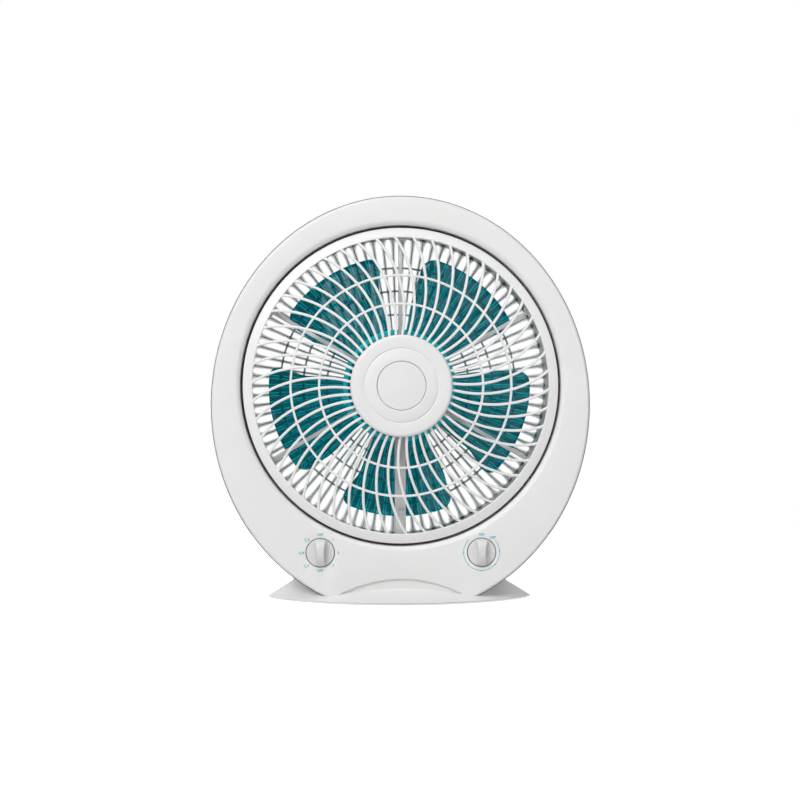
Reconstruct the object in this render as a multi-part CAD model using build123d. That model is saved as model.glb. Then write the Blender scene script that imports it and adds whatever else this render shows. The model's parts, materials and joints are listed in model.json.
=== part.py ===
from build123d import *
from math import atan, cos, degrees, radians, sin
import os

# A round-faced table box fan with a motor-turned swirl grille, two dials and a flared foot.
#
# Millimetres, +Z up. The fan looks along -Y. The origin is on the floor, under the middle of the
# foot. Everything round about the fan axis is drawn in AXIS, a plane on that axis whose local Z is
# "forward", so a point's forward distance is -Y and its local X and Y are sideways and up.

os.makedirs("parts", exist_ok=True)

# ---- driving dimensions --------------------------------------------------------------------
AXIS_Z = 234.5            # height of the fan axis above the floor
BODY_A = 205.6            # half width of the body's upright ellipse
BODY_B = 226.8            # half height of the same ellipse
BODY_DROP = 20.9          # the ellipse's centre is this far below the fan axis
FACE = 60.0               # forward distance of the flat front face
SPLIT = 4.0               # forward distance of the joint between front and rear housing
BACK = -46.0              # forward distance of the rear wall
WALL = 2.5                # moulded wall
DUCT_R = 174.3            # inner radius of the air duct
BLADE_R = 145.0           # blade tip radius
WHEEL_HUB_R = 62.5        # radius of the blade wheel's hub
HUB_R = 55.1              # radius of the cap in the middle of the swirl grille
BLADES = 5
SWIRL_RIBS = 50
SWIRL_START = 89.0        # where the first swirl rib leaves the hub, in degrees
SWIRL_END_R = 161.0       # where the swirl ribs meet their rim
REAR_RIBS = 90
DIAL_X = 87.4             # the dials stand this far each side of the middle
DIAL_DROP = 180.6         # and this far below the fan axis
DIAL_R = 15.35            # radius of a dial's disc
FOOT_L = 147.5            # half length of the foot's pointed plan
FOOT_D = 94.0             # half depth of the foot's pointed plan
FOOT_Z = 1.5              # the foot's rim is this far above the floor, on rubber pads
NECK_L = 117.3            # half length of the foot's neck
NECK_D = 57.0             # half depth of the neck, just behind the front wall
NECK_Z = 20.0             # the flare ends and the neck begins here
SEAT_Z = 34.0             # top of the neck, where the housing sits
PLATE = 1.7               # thickness of the plate under the foot
PLATE_SCREW_X = (-90, 90)

RUN = 0.05                # radial clearance of a shaft in its bush
LEAD_R = 2.0              # radius of the fan motor's lead
AXIS = Plane(origin=(0, 0, AXIS_Z), x_dir=(1, 0, 0), z_dir=(0, -1, 0))
NODES = {}


# ---- helpers -------------------------------------------------------------------------------
def spin(points):
    """Turn a closed outline of (radius, forward) points about the fan axis."""
    outline = Polyline(*[(r, 0, h) for r, h in points], close=True)
    return revolve(make_face(outline), Axis.Z)


def tube(outer, inner, low, high):
    return spin([(inner, low), (outer, low), (outer, high), (inner, high)])


def rod(radius, low, high, x=0.0, y=0.0):
    return Pos(x, y, (low + high) / 2) * Cylinder(radius, high - low)


def ring_of(shape, count, start=0.0):
    """Copies of a shape turned about the fan axis in equal steps."""
    return [Rot(0, 0, start + 360 * i / count) * shape for i in range(count)]


def polar(radius, angle):
    return radius * cos(radians(angle)), radius * sin(radians(angle))


def keep(name, shape, local=True):
    """Store a node, moved from the axis frame to the floor frame when it is drawn there."""
    solids = shape if isinstance(shape, list) else shape.solids()
    placed = [AXIS.location * s if local else s for s in solids]
    NODES[name] = placed[0] if len(placed) == 1 else Compound(children=placed)


def screw(head_r, head_h, shank_r, length):
    """A pan-head screw along -Z, its head's seat at the origin, with a cross recess."""
    body = rod(head_r, 0, head_h) + rod(shank_r, -length, 0)
    body = fillet(body.edges().group_by(Axis.Z)[-1], head_h * 0.4)
    slot = Box(head_r * 1.1, head_r * 0.28, head_h)
    return body - Pos(0, 0, head_h * 1.05) * (slot + Rot(0, 0, 90) * slot)


def lens(length, depth, z):
    """The foot's pointed plan: two arcs that meet in a tip at each end."""
    front = ThreePointArc((-length, 0, z), (0, -depth, z), (length, 0, z))
    back = ThreePointArc((length, 0, z), (0, depth, z), (-length, 0, z))
    return make_face(front + back)


def foot_shape(inset, bottom, neck_top):
    """The flare and its neck, drawn `inset` inside the outer surface."""
    flare = loft([lens(FOOT_L - 1.4 * inset, FOOT_D - 1.2 * inset, bottom),
                  lens(NECK_L - 1.4 * inset, NECK_D - 1.2 * inset, NECK_Z - 0.6 * inset)], ruled=True)
    neck_face = lens(NECK_L - 1.4 * inset, NECK_D - 1.2 * inset, NECK_Z - 0.6 * inset)
    return flare + extrude(neck_face, neck_top - NECK_Z + 0.6 * inset, dir=(0, 0, 1))


def body_block(inset, low, high, front_round=0.0, back_round=0.0):
    """The body's upright ellipse between two forward distances, in the axis frame."""
    face = Pos(0, -BODY_DROP, low) * Ellipse(BODY_A - inset, BODY_B - inset)
    block = extrude(face, high - low)
    if front_round:
        block = fillet(block.edges().group_by(Axis.Z)[-1], front_round)
    if back_round:
        block = fillet(block.edges().group_by(Axis.Z)[0], back_round)
    return block


FOOT_ENVELOPE = AXIS.location.inverse() * foot_shape(0, FOOT_Z, SEAT_Z)
UNDERSIDE = Pos(0, -AXIS_Z - 50 + FOOT_Z, 0) * Box(400, 100, 300)
SHELF = Pos(0, SEAT_Z - AXIS_Z + WALL / 2, 0) * Box(290, WALL, 200)

# screws that join the two housings, on circles about the axis
CASE_SCREWS = [polar(192, a) for a in (2, 62, 118, 178)] + [polar(198, a) for a in (-42, -138)]
BASE_SCREWS = [(x, y) for x in (-60, 60) for y in (-34, 34)]


# ---- housing -------------------------------------------------------------------------------
def dial_well():
    """The cup that a dial turns in, open at the face."""
    return tube(18.0, 16.1, 50, FACE - 1) + tube(18.0, 4.1, 50, 52)


def base_boss(x, y):
    """A screw post above the shelf; x and y are floor coordinates."""
    post = Pos(x, SEAT_Z + WALL - AXIS_Z + 5, -y) * Rot(90, 0, 0) * Cylinder(4.5, 10)
    return post


def base_pilot(x, y):
    return Pos(x, SEAT_Z - AXIS_Z + 6, -y) * Rot(90, 0, 0) * Cylinder(1.6, 12.2)


def front_housing():
    shell = body_block(0, SPLIT, FACE, front_round=4) - body_block(WALL, SPLIT - 1, FACE - WALL, 1.5)
    shell -= rod(DUCT_R, 0, FACE + 10)
    shelf = SHELF & body_block(1, SPLIT, FACE - 1)
    shell += shelf
    shell += tube(DUCT_R + WALL, DUCT_R, SPLIT, FACE - 0.5)
    shell += tube(DUCT_R + WALL, 165, 36, 40)          # ledge that the bracket is screwed to
    lip = [e for e in shell.edges().filter_by(GeomType.CIRCLE)
           if abs(e.radius - DUCT_R) < 0.01 and abs(e.center().Z - FACE) < 0.01]
    shell = fillet(lip, 6)
    for x, y in CASE_SCREWS:
        shell += rod(5, SPLIT, FACE - 1, x, y) - rod(DUCT_R + 1, 0, 80)
        shell -= rod(1.7, SPLIT - 1, SPLIT + 14, x, y)
    for side in (-1, 1):
        place = Pos(side * DIAL_X, -DIAL_DROP, 0)
        shell -= place * rod(16.1, 52, FACE + 5)
        shell += place * dial_well()
    for x, y in BASE_SCREWS:
        if y < 0:
            shell += base_boss(x, y)
            shell -= base_pilot(x, y)
    for a in range(15, 360, 60):
        x, y = polar(168.6, a)
        shell -= rod(1.3, 35, 41, x, y)
    shell -= FOOT_ENVELOPE
    shell -= UNDERSIDE
    shell -= arch_cut()
    return shell


def arch_cut():
    """The low arch in the front face, over the foot's neck."""
    half, rise, foot_y = 73.0, 20.5, 5.0 - AXIS_Z
    low_y = foot_y - 30
    curve = ThreePointArc((-half, foot_y, 0), (0, foot_y + rise, 0), (half, foot_y, 0))
    below = Polyline((half, foot_y, 0), (half, low_y, 0), (-half, low_y, 0), (-half, foot_y, 0))
    return extrude(Pos(0, 0, FACE - 4) * make_face(curve + below), 20)


def rear_housing():
    shell = body_block(0, BACK, SPLIT, back_round=18) - body_block(WALL, BACK + WALL, SPLIT + 1, 0, 15.5)
    shell -= rod(168, BACK - 5, SPLIT + 5)
    shell += SHELF & body_block(1, BACK + 3, SPLIT)
    shell += tube(DUCT_R + WALL, DUCT_R, BACK + 1, SPLIT)
    for x, y in CASE_SCREWS:
        shell += rod(5, BACK + 2, SPLIT, x, y) & body_block(0.5, BACK, SPLIT, back_round=18)
        shell -= rod(DUCT_R, BACK + WALL, SPLIT + 1)
        shell -= rod(3.8, BACK - 2, -4, x, y)
        shell -= rod(1.9, BACK, SPLIT + 1, x, y)
    for x, y in BASE_SCREWS:
        if y > 0:
            shell += base_boss(x, y)
            shell -= base_pilot(x, y)
    for a in range(45, 360, 90):
        x, y = polar(171.2, a)
        shell -= rod(1.3, BACK - 1, BACK + 4, x, y)
    # carrying grip: a pocket let into the back of the top
    top = BODY_B - BODY_DROP
    pocket = Pos(0, top - 17.5, BACK + 14) * Box(110, 15, 32)
    liner = Pos(0, top - 17.5, BACK + 15) * Box(114, 19, 32)
    shell += (liner & body_block(0.5, BACK, SPLIT, back_round=18)) - rod(DUCT_R + 1, BACK, SPLIT)
    shell -= Pos(0, 0, -1) * pocket
    shell -= Pos(0, -176, -39.5 + LEAD_R) * Rot(90, 0, 0) * Cylinder(LEAD_R + 0.4, 8)   # fan motor's lead
    # square seat of the cord gland, low on the right of the back wall
    shell -= Pos(*GLAND_XY, BACK) * Box(11, 11, 12)
    shell -= FOOT_ENVELOPE
    shell -= UNDERSIDE
    return shell


GLAND_XY = (96.0, 62.0 - AXIS_Z)


def cord_gland():
    """A square rubber bush with the cord's round hole through it."""
    body = Pos(0, 0, BACK + 1.25) * Box(11, 11, 2.5) + Pos(0, 0, BACK - 1.5) * Box(15, 15, 3)
    body += Pos(0, 0, BACK + 3.5) * Box(14, 14, 2)
    body += rod(5.5, BACK - 9, BACK - 3)
    return Pos(*GLAND_XY, 0) * (body - rod(3.6, BACK - 10, BACK + 5))


# ---- foot ----------------------------------------------------------------------------------
def base_foot():
    foot = foot_shape(0, FOOT_Z, SEAT_Z)
    foot -= foot_shape(WALL, FOOT_Z - 0.01, SEAT_Z - WALL)
    foot -= Pos(0, 0, SEAT_Z) * Box(70, 30, 12)         # wires pass up through here
    for x, y in BASE_SCREWS:
        foot -= Pos(x, y, SEAT_Z) * Cylinder(1.8, 12)
    post_low = FOOT_Z + PLATE
    for x in PLATE_SCREW_X:
        foot += Pos(x, 0, (post_low + SEAT_Z - 1) / 2) * Cylinder(4, SEAT_Z - 1 - post_low)
        foot -= Pos(x, 0, post_low + 4) * Cylinder(1.5, 8.2)
    return foot


def base_plate():
    plate = extrude(lens(FOOT_L - 7.5, FOOT_D - 7.5, FOOT_Z), PLATE, dir=(0, 0, 1))
    for x in PLATE_SCREW_X:
        plate -= Pos(x, 0, FOOT_Z) * Cylinder(1.8, 6)
    for x, y in PAD_PLACES:
        plate -= Pos(x, y, FOOT_Z) * Cylinder(3.0, 8)
    return plate


PAD_PLACES = [(x, y) for x in (-80, 80) for y in (-36, 36)]


def rubber_feet():
    pad = Pos(0, 0, FOOT_Z / 2) * Cylinder(8, FOOT_Z) + Pos(0, 0, FOOT_Z + PLATE / 2) * Cylinder(3.0, PLATE)
    pad += Pos(0, 0, FOOT_Z + PLATE + 1) * Cylinder(4.2, 2)
    return [Pos(x, y, 0) * pad for x, y in PAD_PLACES]


# ---- rear grille and motor -----------------------------------------------------------------
REAR_LOW = -43.5          # the rear grille's back and front
REAR_HIGH = -39.5


def rear_rib():
    """A radial rib, broad at the back and narrow in front, broader towards the rim."""
    def section(radius, back_half, front_half):
        corners = [(-back_half, REAR_LOW), (back_half, REAR_LOW),
                   (front_half, REAR_HIGH), (-front_half, REAR_HIGH)]
        plane = Plane(origin=(radius, 0, 0), x_dir=(0, 1, 0), z_dir=(1, 0, 0))
        return plane * make_face(Polyline(*corners, close=True))
    return loft([section(55, 1.2, 0.7), section(167, 2.4, 0.7)], ruled=True)


def rear_grille():
    low, high = REAR_LOW, REAR_HIGH
    grille = tube(DUCT_R - 0.1, 165, low, high) + tube(56, 12.0, low, high)
    for radius in (80.3, 106.7, 132.8):
        grille += tube(radius + 1.1, radius - 1.1, low, high)
    grille += ring_of(rear_rib(), REAR_RIBS)
    for x, y in [polar(37, a) for a in (45, 135, 225, 315)]:
        grille -= rod(1.9, low - 1, high + 1, x, y)
    for a in range(45, 360, 90):
        x, y = polar(171.2, a)
        grille -= rod(1.1, low - 1, high - 1, x, y)
    grille -= Pos(0, -49.5, (low + high) / 2) * Box(2 * LEAD_R + 0.6, 14, 6)     # the fan motor's lead
    for x, y in [polar(52.5, a) for a in (0, 90, 180, 270)]:
        grille -= rod(1.2, low - 1, high + 1, x, y)
    return grille


def motor_cover():
    """The domed cover over the back of the motor, with a ring of cooling slots."""
    outer = [(56, -43.5), (56, -46), (50, -46), (50, -66), (46, -74), (38, -79), (0, -79)]
    inner = [(0, -77), (37, -77), (44.5, -72.6), (48, -65.5), (48, -43.5)]
    dome = spin(outer + inner)
    dome -= ring_of(Pos(27, 0, -78) * Box(18, 3, 8), 16)
    for x, y in [polar(52.5, a) for a in (0, 90, 180, 270)]:
        dome -= rod(1.3, -50, -40, x, y)
    return dome


def motor_front_shield():
    shield = spin([(8, -43.5), (41, -43.5), (41, -54), (39, -54), (39, -45.5), (10, -45.5),
                   (10, -50), (8, -50)])
    for x, y in [polar(37, a) for a in (45, 135, 225, 315)]:
        shield -= rod(1.6, -48, -40, x, y)
    for x, y in TIE_PLACES:
        shield += (rod(3.0, -54, -44, x, y))
        shield -= rod(1.6, -56, -40, x, y)
    return shield


TIE_PLACES = [polar(34.6, a) for a in (0, 180)]


def motor_rear_shield():
    shield = spin([(8, -75.5), (36, -75.5), (41, -71), (41, -66), (39, -66), (39, -70.2), (35.2, -73.5),
                   (10, -73.5), (10, -69), (8, -69)])
    for x, y in TIE_PLACES:
        shield += rod(3.0, -74, -66, x, y)
        shield -= rod(1.6, -80, -60, x, y)
    return shield


def motor_stator():
    stack = tube(41, 20.5, -66, -54)
    stack -= ring_of(Pos(27, 0, -60) * Box(8, 4, 14), 12, 15)
    for x, y in TIE_PLACES:
        stack -= rod(1.6, -70, -50, x, y)
    return stack


def motor_windings():
    return [tube(32, 22.5, -54, -50.2), tube(32, 22.5, -69.8, -66)]


def motor_lead():
    """The fan motor's lead: out through the grille's hub plate, then straight down its front."""
    height = -39.5 + LEAD_R
    route = FilletPolyline((0, -45, -49.5), (0, -45, height), (0, -184, height), radius=8)
    section = Plane(origin=(0, -45, -49.5), z_dir=(0, 0, 1)) * Circle(LEAD_R)
    return sweep(section, path=route)


def fan_blade():
    """The blade wheel: a cup-shaped hub with five curved blades."""
    hub = spin([(4.0, -20), (9, -20), (9, 5), (WHEEL_HUB_R - 2.5, 5), (WHEEL_HUB_R - 2.5, -25),
                (WHEEL_HUB_R, -25), (WHEEL_HUB_R, 5.5), (WHEEL_HUB_R - 3, 8), (4.0, 8)])
    web = Pos(34.3, 0, -2) * Box(51.5, 1.8, 14.5)
    hub += ring_of(web, BLADES, 90)
    hub -= rod(4.0, -30, 20)
    wheel = hub + ring_of(one_blade(), BLADES, 54 - 90)
    return wheel


def blade_plan():
    """One blade's outline seen along the axis, its middle on local +Y."""
    def at(radius, angle):
        x, y = polar(radius, 90 + angle)
        return (x, y, 0)
    lead = Spline(at(52, -27), at(80, -25.4), at(104, -24.3), at(127, -26.2), at(137, -26.8))
    corner = ThreePointArc(at(137, -26.8), at(142.2, -25.9), at(BLADE_R, -23.2))
    tip = ThreePointArc(at(BLADE_R, -23.2), at(BLADE_R, 0), at(BLADE_R, 18.2))
    nose = Spline(at(BLADE_R, 18.2), at(142.0, 22.2), at(134, 24.6))
    trail = Spline(at(134, 24.6), at(123, 25.7), at(104, 27.2), at(80, 28.4), at(52, 29.4))
    root = Line(at(52, 29.4), at(52, -27))
    return make_face(lead + corner + tip + nose + trail + root)


def one_blade():
    """A cambered, twisted slab cut to the blade's outline."""
    def section(y, half, pitch, camber):
        chord = (cos(radians(pitch)), 0, -sin(radians(pitch)))
        plane = Plane(origin=(0, y, -6), x_dir=chord, z_dir=(0, 1, 0))
        top = ThreePointArc((-half, 0), (0, camber + 1.1), (half, 0))
        low = ThreePointArc((half, -2.2 + 0.8), (0, camber - 1.1), (-half, -2.2 + 0.8))
        ends = Line((half, 0), (half, -1.4)) + Line((-half, -1.4), (-half, 0))
        return plane * make_face(top + low + ends)
    slab = loft([section(38, 60, 24, 3.0), section(95, 75, 17, 4.5), section(150, 85, 12, 5.0)])
    prism = extrude(Pos(0, 0, -40) * blade_plan(), 80)
    return slab & (prism - rod(WHEEL_HUB_R - 1.5, -50, 50))


# ---- swirl grille and its drive ------------------------------------------------------------
def swirl_angle(radius):
    """How far round a rib has swept at a radius, in degrees: back a little, then curling forward."""
    u = (radius - HUB_R) / (SWIRL_END_R - HUB_R)
    return -17.9 * u + 61.8 * u ** 2 - 54.1 * u ** 3 + 20.6 * u ** 4


def swirl_slant(radius):
    """The angle between a rib and the radius through it, in radians."""
    return atan(radius * radians(swirl_angle(radius + 0.5) - swirl_angle(radius - 0.5)))


def dome_front(radius):
    """Forward distance of the swirl grille's front surface."""
    u = (radius - HUB_R) / (SWIRL_END_R - HUB_R)
    return 70.8 - 4.0 * u - 10.0 * u ** 2


def swirl_rib():
    radii = [HUB_R - 1, 72, 90, 108, 126, 144, 162.5]
    half = 1.4

    def side(sign):
        points = []
        for r in radii:
            a = swirl_angle(r) + sign * degrees(half / (r * cos(swirl_slant(r))))
            points.append((*polar(r, a), 0))
        return points
    left, right = side(1), side(-1)
    outline = Spline(*left) + Line(left[-1], right[-1])
    outline += Spline(*right[::-1]) + Line(right[0], left[0])
    prism = extrude(Pos(0, 0, 40) * make_face(outline), 50)
    front = [(r, 0, dome_front(r)) for r in (HUB_R - 4, 90, 126, 163)]
    back = [(r, 0, dome_front(r) - 6.0) for r in (163, 126, 90, HUB_R - 4)]
    section = Spline(*front) + Line(front[-1], back[0]) + Spline(*back) + Line(back[-1], front[0])
    dome = revolve(make_face(section), Axis.Z)
    return prism & dome


def rotating_grille():
    rim = spin([(160.8, 49), (171.3, 49), (171.3, 54.0), (170.7, 54.7), (161.6, 57), (160.8, 56.4)])
    plate_r = HUB_R - 0.6
    hub = spin([(2.98, 58), (8, 58), (8, 66.8), (53.5, 66.8), (53.5, 64.5), (plate_r, 64.5),
                (plate_r, 71), (2.98, 71)])
    rings = [tube(r + 1.25, r - 1.25, dome_front(r) - 5.5, dome_front(r) - 0.3) for r in (88.6, 119.4)]
    grille = rim + hub + rings
    grille += ring_of(swirl_rib(), SWIRL_RIBS, SWIRL_START)
    return grille


def hub_cap():
    front = [(26.6, 75.2), (26.6, 78.0), (27.2, 78.6), (39.4, 77.0), (39.8, 76.3), (40.4, 76.3),
             (40.8, 76.9), (52.6, 76.1), (54.4, 75.2), (HUB_R, 73.6)]
    back = [(HUB_R, 71.0), (52.5, 71.0), (52.5, 73.5), (0, 73.5), (0, 75.2)]
    return spin(front + back)


def grille_bracket():
    """Six fixed spokes between the swirl grille and the blades, with the drive motor's cup."""
    bracket = tube(DUCT_R - 0.3, 163.5, 40, 43.5) + tube(31, 28.6, 27, 46) + tube(31, 12, 25, 27.5)
    spoke = Pos(97, 0, 35) * Box(135, 4.4, 8)
    angles = [30, 90, 150, 210, 330]
    for a in angles:
        bracket += Rot(0, 0, a) * spoke
    channel = Pos(97, 0, 35) * Box(135, 12, 8) - Pos(97, 0, 33) * Box(150, 9, 8)
    channel -= Pos(138, 1.0, 38) * Box(7.6, 5.6, 6)
    bracket += Rot(0, 0, 270) * channel
    bracket += ring_of(Pos(161.8, 0, 40.5) * Box(5.6, 12, 6), 6, 30)
    bracket -= rod(28.6, 27.5, 60)
    bracket -= Pos(0, -30, 33.5) * Box(6, 8, 6)        # the lead leaves the cup here
    for a in range(15, 360, 60):
        x, y = polar(168.6, a)
        bracket -= rod(1.5, 38, 46, x, y)
    for x, y in DRIVE_LUGS:
        bracket += rod(3.0, 38.5, 46, x, y)
        bracket -= rod(1.2, 38, 50, x, y)
    return bracket


DRIVE_LUGS = [polar(26.5, a) for a in (90, 270)]


def lead_cover():
    strip = Pos(104, 0, 31.6) * Box(112, 8.8, 1.2)
    return Rot(0, 0, 270) * strip


def grille_motor_lead():
    """The drive motor's lead, laid in the wide spoke from the motor to the rim."""
    return Pos(0, -93.3, 34.4) * Rot(90, 0, 0) * Cylinder(1.4, 140)


def grille_motor():
    can = rod(23.2, 28, 44) + rod(6, 44, 47.5)
    can += Pos(0, 0, 46.5) * Box(9, 60, 1.0) & rod(28.3, 40, 50)
    for x, y in DRIVE_LUGS:
        can -= rod(1.3, 40, 50, x, y)
    can -= rod(2.5 + RUN, 36, 60)
    return can


def grille_motor_shaft():
    return rod(2.5, 37, 58.0) + rod(2.98, 58.0, 73.4)


# ---- dials ---------------------------------------------------------------------------------
def knob():
    """A dial: a disc with a waisted grip bar across it, pointing up."""
    disc = rod(DIAL_R, 55.4, 60.8)
    disc = chamfer(disc.edges().group_by(Axis.Z)[-1], 0.6)
    half, waist_top, waist_end = 4.0, 5.3, 5.0
    left = ThreePointArc((-waist_top, DIAL_R, 0), (-half, 0, 0), (-waist_end, -DIAL_R, 0))
    right = ThreePointArc((waist_end, -DIAL_R, 0), (half, 0, 0), (waist_top, DIAL_R, 0))
    plan = make_face(left + Line((-waist_end, -DIAL_R, 0), (waist_end, -DIAL_R, 0)) + right
                     + Line((waist_top, DIAL_R, 0), (-waist_top, DIAL_R, 0)))
    bar = extrude(Pos(0, 0, 60) * plan, 12, taper=5)
    side = ThreePointArc((0, -DIAL_R, 66.5), (0, 0, 72.0), (0, DIAL_R, 66.5))
    side += Line((0, DIAL_R, 66.5), (0, DIAL_R, 58)) + Line((0, DIAL_R, 58), (0, -DIAL_R, 58))
    side += Line((0, -DIAL_R, 58), (0, -DIAL_R, 66.5))
    crest = extrude(make_face(side), 8, both=True)
    grip = bar & crest & rod(DIAL_R - 0.05, 50, 80)
    return disc + grip - rod(3.0, 55, 62)


def dial_shaft():
    return rod(3.0, 42, 62)


def switch_body(width, height, depth):
    """A switch behind a dial, with its threaded neck through the well's floor."""
    body = Pos(0, 0, 48 - depth / 2) * Box(width, height, depth) + rod(4.05, 48, 54.6)
    for x in (-width / 3, 0, width / 3):
        body += Pos(x, 0, 48 - depth - 3) * Box(1.0, 4.8, 6.2)
    body += rod(9, 47.5, 50)
    return body - rod(3.0 + RUN, 41.8, 60)


def switch_nut():
    nut = Pos(0, 0, 53.2) * extrude(RegularPolygon(6.4, 6), 1.0, both=True)
    return nut - rod(4.05, 50, 60)


# ---- build ---------------------------------------------------------------------------------
def fasteners():
    case = screw(3.4, 2.4, 1.7, 19)
    turned = [Pos(x, y, -4) * Rot(180, 0, 0) * case for x, y in CASE_SCREWS]
    keep("housing_screws", turned)
    small = screw(2.3, 1.6, 1.1, 5.4)
    keep("rear_grille_screws", [Pos(*polar(171.2, a), BACK) * Rot(180, 0, 0) * small
                                for a in range(45, 360, 90)])
    keep("bracket_screws", [Pos(*polar(168.6, a), 43.5) * screw(2.6, 1.8, 1.3, 7.0)
                            for a in range(15, 360, 60)])
    keep("motor_mount_screws", [Pos(*polar(37, a), -39.5) * screw(3.0, 2.0, 1.6, 6.5)
                                for a in (45, 135, 225, 315)])
    keep("motor_cover_screws", [Pos(*polar(52.5, a), -46) * Rot(180, 0, 0) * screw(2.4, 1.6, 1.2, 6.0)
                                for a in (0, 90, 180, 270)])
    tie = screw(2.8, 1.0, 1.6, 28)
    keep("motor_tie_screws", [Pos(x, y, -75.5) * Rot(180, 0, 0) * tie for x, y in TIE_PLACES])
    keep("grille_motor_screws", [Pos(x, y, 47.0) * screw(2.0, 1.4, 1.2, 6.5) for x, y in DRIVE_LUGS])
    base = screw(3.2, 2.2, 1.6, 13)
    keep("base_screws", [Pos(x, y, SEAT_Z - WALL) * Rot(180, 0, 0) * base for x, y in BASE_SCREWS],
         local=False)
    plate = screw(3.0, 1.3, 1.5, 8)
    keep("base_plate_screws", [Pos(x, 0, FOOT_Z) * Rot(180, 0, 0) * plate for x in PLATE_SCREW_X],
         local=False)


def build():
    keep("front_housing", front_housing())
    keep("rear_housing", rear_housing())
    keep("cord_gland", cord_gland())
    keep("base_foot", base_foot(), local=False)
    keep("base_plate", base_plate(), local=False)
    keep("rubber_feet", rubber_feet(), local=False)
    keep("rear_grille", rear_grille())
    keep("motor_cover", motor_cover())
    keep("motor_front_shield", motor_front_shield())
    keep("motor_rear_shield", motor_rear_shield())
    keep("motor_stator", motor_stator())
    keep("motor_windings", motor_windings())
    keep("front_bearing", tube(8, 4.0 + RUN, -50, -43.5))
    keep("rear_bearing", tube(8, 4.0 + RUN, -75.5, -69))
    keep("motor_rotor", tube(20, 4.0, -66, -54))
    keep("motor_shaft", rod(4.0, -74.5, 22))
    keep("motor_lead", motor_lead())
    keep("fan_blade", fan_blade())
    keep("blade_nut", spin([(4.0, 8), (11, 8), (11, 10), (8, 12), (8, 19), (4.0, 20)]))
    keep("grille_bracket", grille_bracket())
    keep("lead_cover", lead_cover())
    keep("grille_motor_lead", grille_motor_lead())
    keep("grille_motor", grille_motor())
    keep("grille_motor_shaft", grille_motor_shaft())
    keep("rotating_grille", rotating_grille())
    keep("hub_cap", hub_cap())
    keep("hub_badge", spin([(0, 75.2), (26.2, 75.2), (26.2, 78.3), (25.8, 78.7), (0, 78.7)]))
    left, right = Pos(-DIAL_X, -DIAL_DROP, 0), Pos(DIAL_X, -DIAL_DROP, 0)
    keep("speed_knob", left * knob())
    keep("timer_knob", right * knob())
    keep("speed_shaft", left * dial_shaft())
    keep("timer_shaft", right * dial_shaft())
    keep("speed_switch", left * switch_body(30, 28, 20))
    keep("timer_switch", right * switch_body(36, 33, 24))
    keep("speed_switch_nut", left * switch_nut())
    keep("timer_switch_nut", right * switch_nut())
    capacitor = Pos(0, SEAT_Z + WALL + 9 - AXIS_Z, 0) * Box(38, 18, 26)
    keep("motor_capacitor", fillet(capacitor.edges().filter_by(Axis.Y), 3))
    fasteners()


build()
for name, shape in NODES.items():
    export_step(shape, f"parts/{name}.step")
print(len(NODES), "nodes written")
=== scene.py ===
# %% [markdown]
# # A round-faced fan with a turning swirl grille
# The engineering model is loaded first and stays where it is. Everything that a person sees is then
# given a finer mesh, with rounded edges and smooth curves, and rides on the same moving bodies.

# %% Load the frame
import json
from math import asin, atan2, cos, pi, radians, sin, sqrt

import bmesh
import bpy
from mathutils import Matrix, Vector


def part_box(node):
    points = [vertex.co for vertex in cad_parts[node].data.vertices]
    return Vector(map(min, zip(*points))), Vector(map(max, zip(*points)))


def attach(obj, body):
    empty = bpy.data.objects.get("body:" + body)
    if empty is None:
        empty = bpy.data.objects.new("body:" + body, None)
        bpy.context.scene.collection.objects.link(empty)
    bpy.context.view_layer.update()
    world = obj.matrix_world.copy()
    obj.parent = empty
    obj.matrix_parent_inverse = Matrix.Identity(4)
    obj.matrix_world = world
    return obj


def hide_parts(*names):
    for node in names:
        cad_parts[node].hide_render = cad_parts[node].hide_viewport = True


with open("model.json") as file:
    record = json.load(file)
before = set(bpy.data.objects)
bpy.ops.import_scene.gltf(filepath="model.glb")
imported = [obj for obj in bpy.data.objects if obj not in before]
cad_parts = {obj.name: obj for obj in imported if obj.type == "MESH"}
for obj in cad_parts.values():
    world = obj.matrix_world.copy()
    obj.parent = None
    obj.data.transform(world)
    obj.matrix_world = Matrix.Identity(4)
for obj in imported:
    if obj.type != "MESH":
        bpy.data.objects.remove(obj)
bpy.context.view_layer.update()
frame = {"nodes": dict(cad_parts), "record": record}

# %% [markdown]
# ## One drawing frame for everything that is round
# Most of a fan is turned about one axis. Drawing those pieces with that axis as Z keeps every
# profile a plain (radius, forward) outline. TO_FAN then tips the finished mesh up, so that forward
# becomes -Y, and lifts it to the height of the motor shaft, which is read from the frame.

# %% Driving sizes, read from the frame
MM = 0.001


def width(node):
    low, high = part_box(node)
    return (high - low).x


shaft_low, shaft_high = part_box("motor_shaft")
AXIS_Z = (shaft_low.z + shaft_high.z) / 2
TO_FAN = Matrix.Translation((0, 0, AXIS_Z)) @ Matrix.Rotation(radians(90), 4, "X")
FACE = -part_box("front_housing")[0].y
SPLIT = -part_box("front_housing")[1].y
BACK = -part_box("rear_housing")[1].y
BODY_DROP = 20.9 * MM
BODY_A = width("front_housing") / 2
BODY_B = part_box("front_housing")[1].z - AXIS_Z + BODY_DROP
DUCT_R = width("grille_bracket") / 2 + 0.3 * MM
BLADE_R = width("fan_blade") / 2
HUB_R = width("hub_cap") / 2
DIAL_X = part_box("timer_shaft")[0].x + 3 * MM
DIAL_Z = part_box("timer_shaft")[0].z + 3 * MM - AXIS_Z
DIAL_R = width("timer_knob") / 2
FOOT_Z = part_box("base_foot")[0].z
FOOT_L = width("base_foot") / 2
FOOT_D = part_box("base_foot")[1].y
SEAT_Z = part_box("base_foot")[1].z
SIDES = 192
print(f"axis {AXIS_Z / MM:.1f} mm up, face {FACE / MM:.1f}, duct radius {DUCT_R / MM:.1f}")

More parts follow.
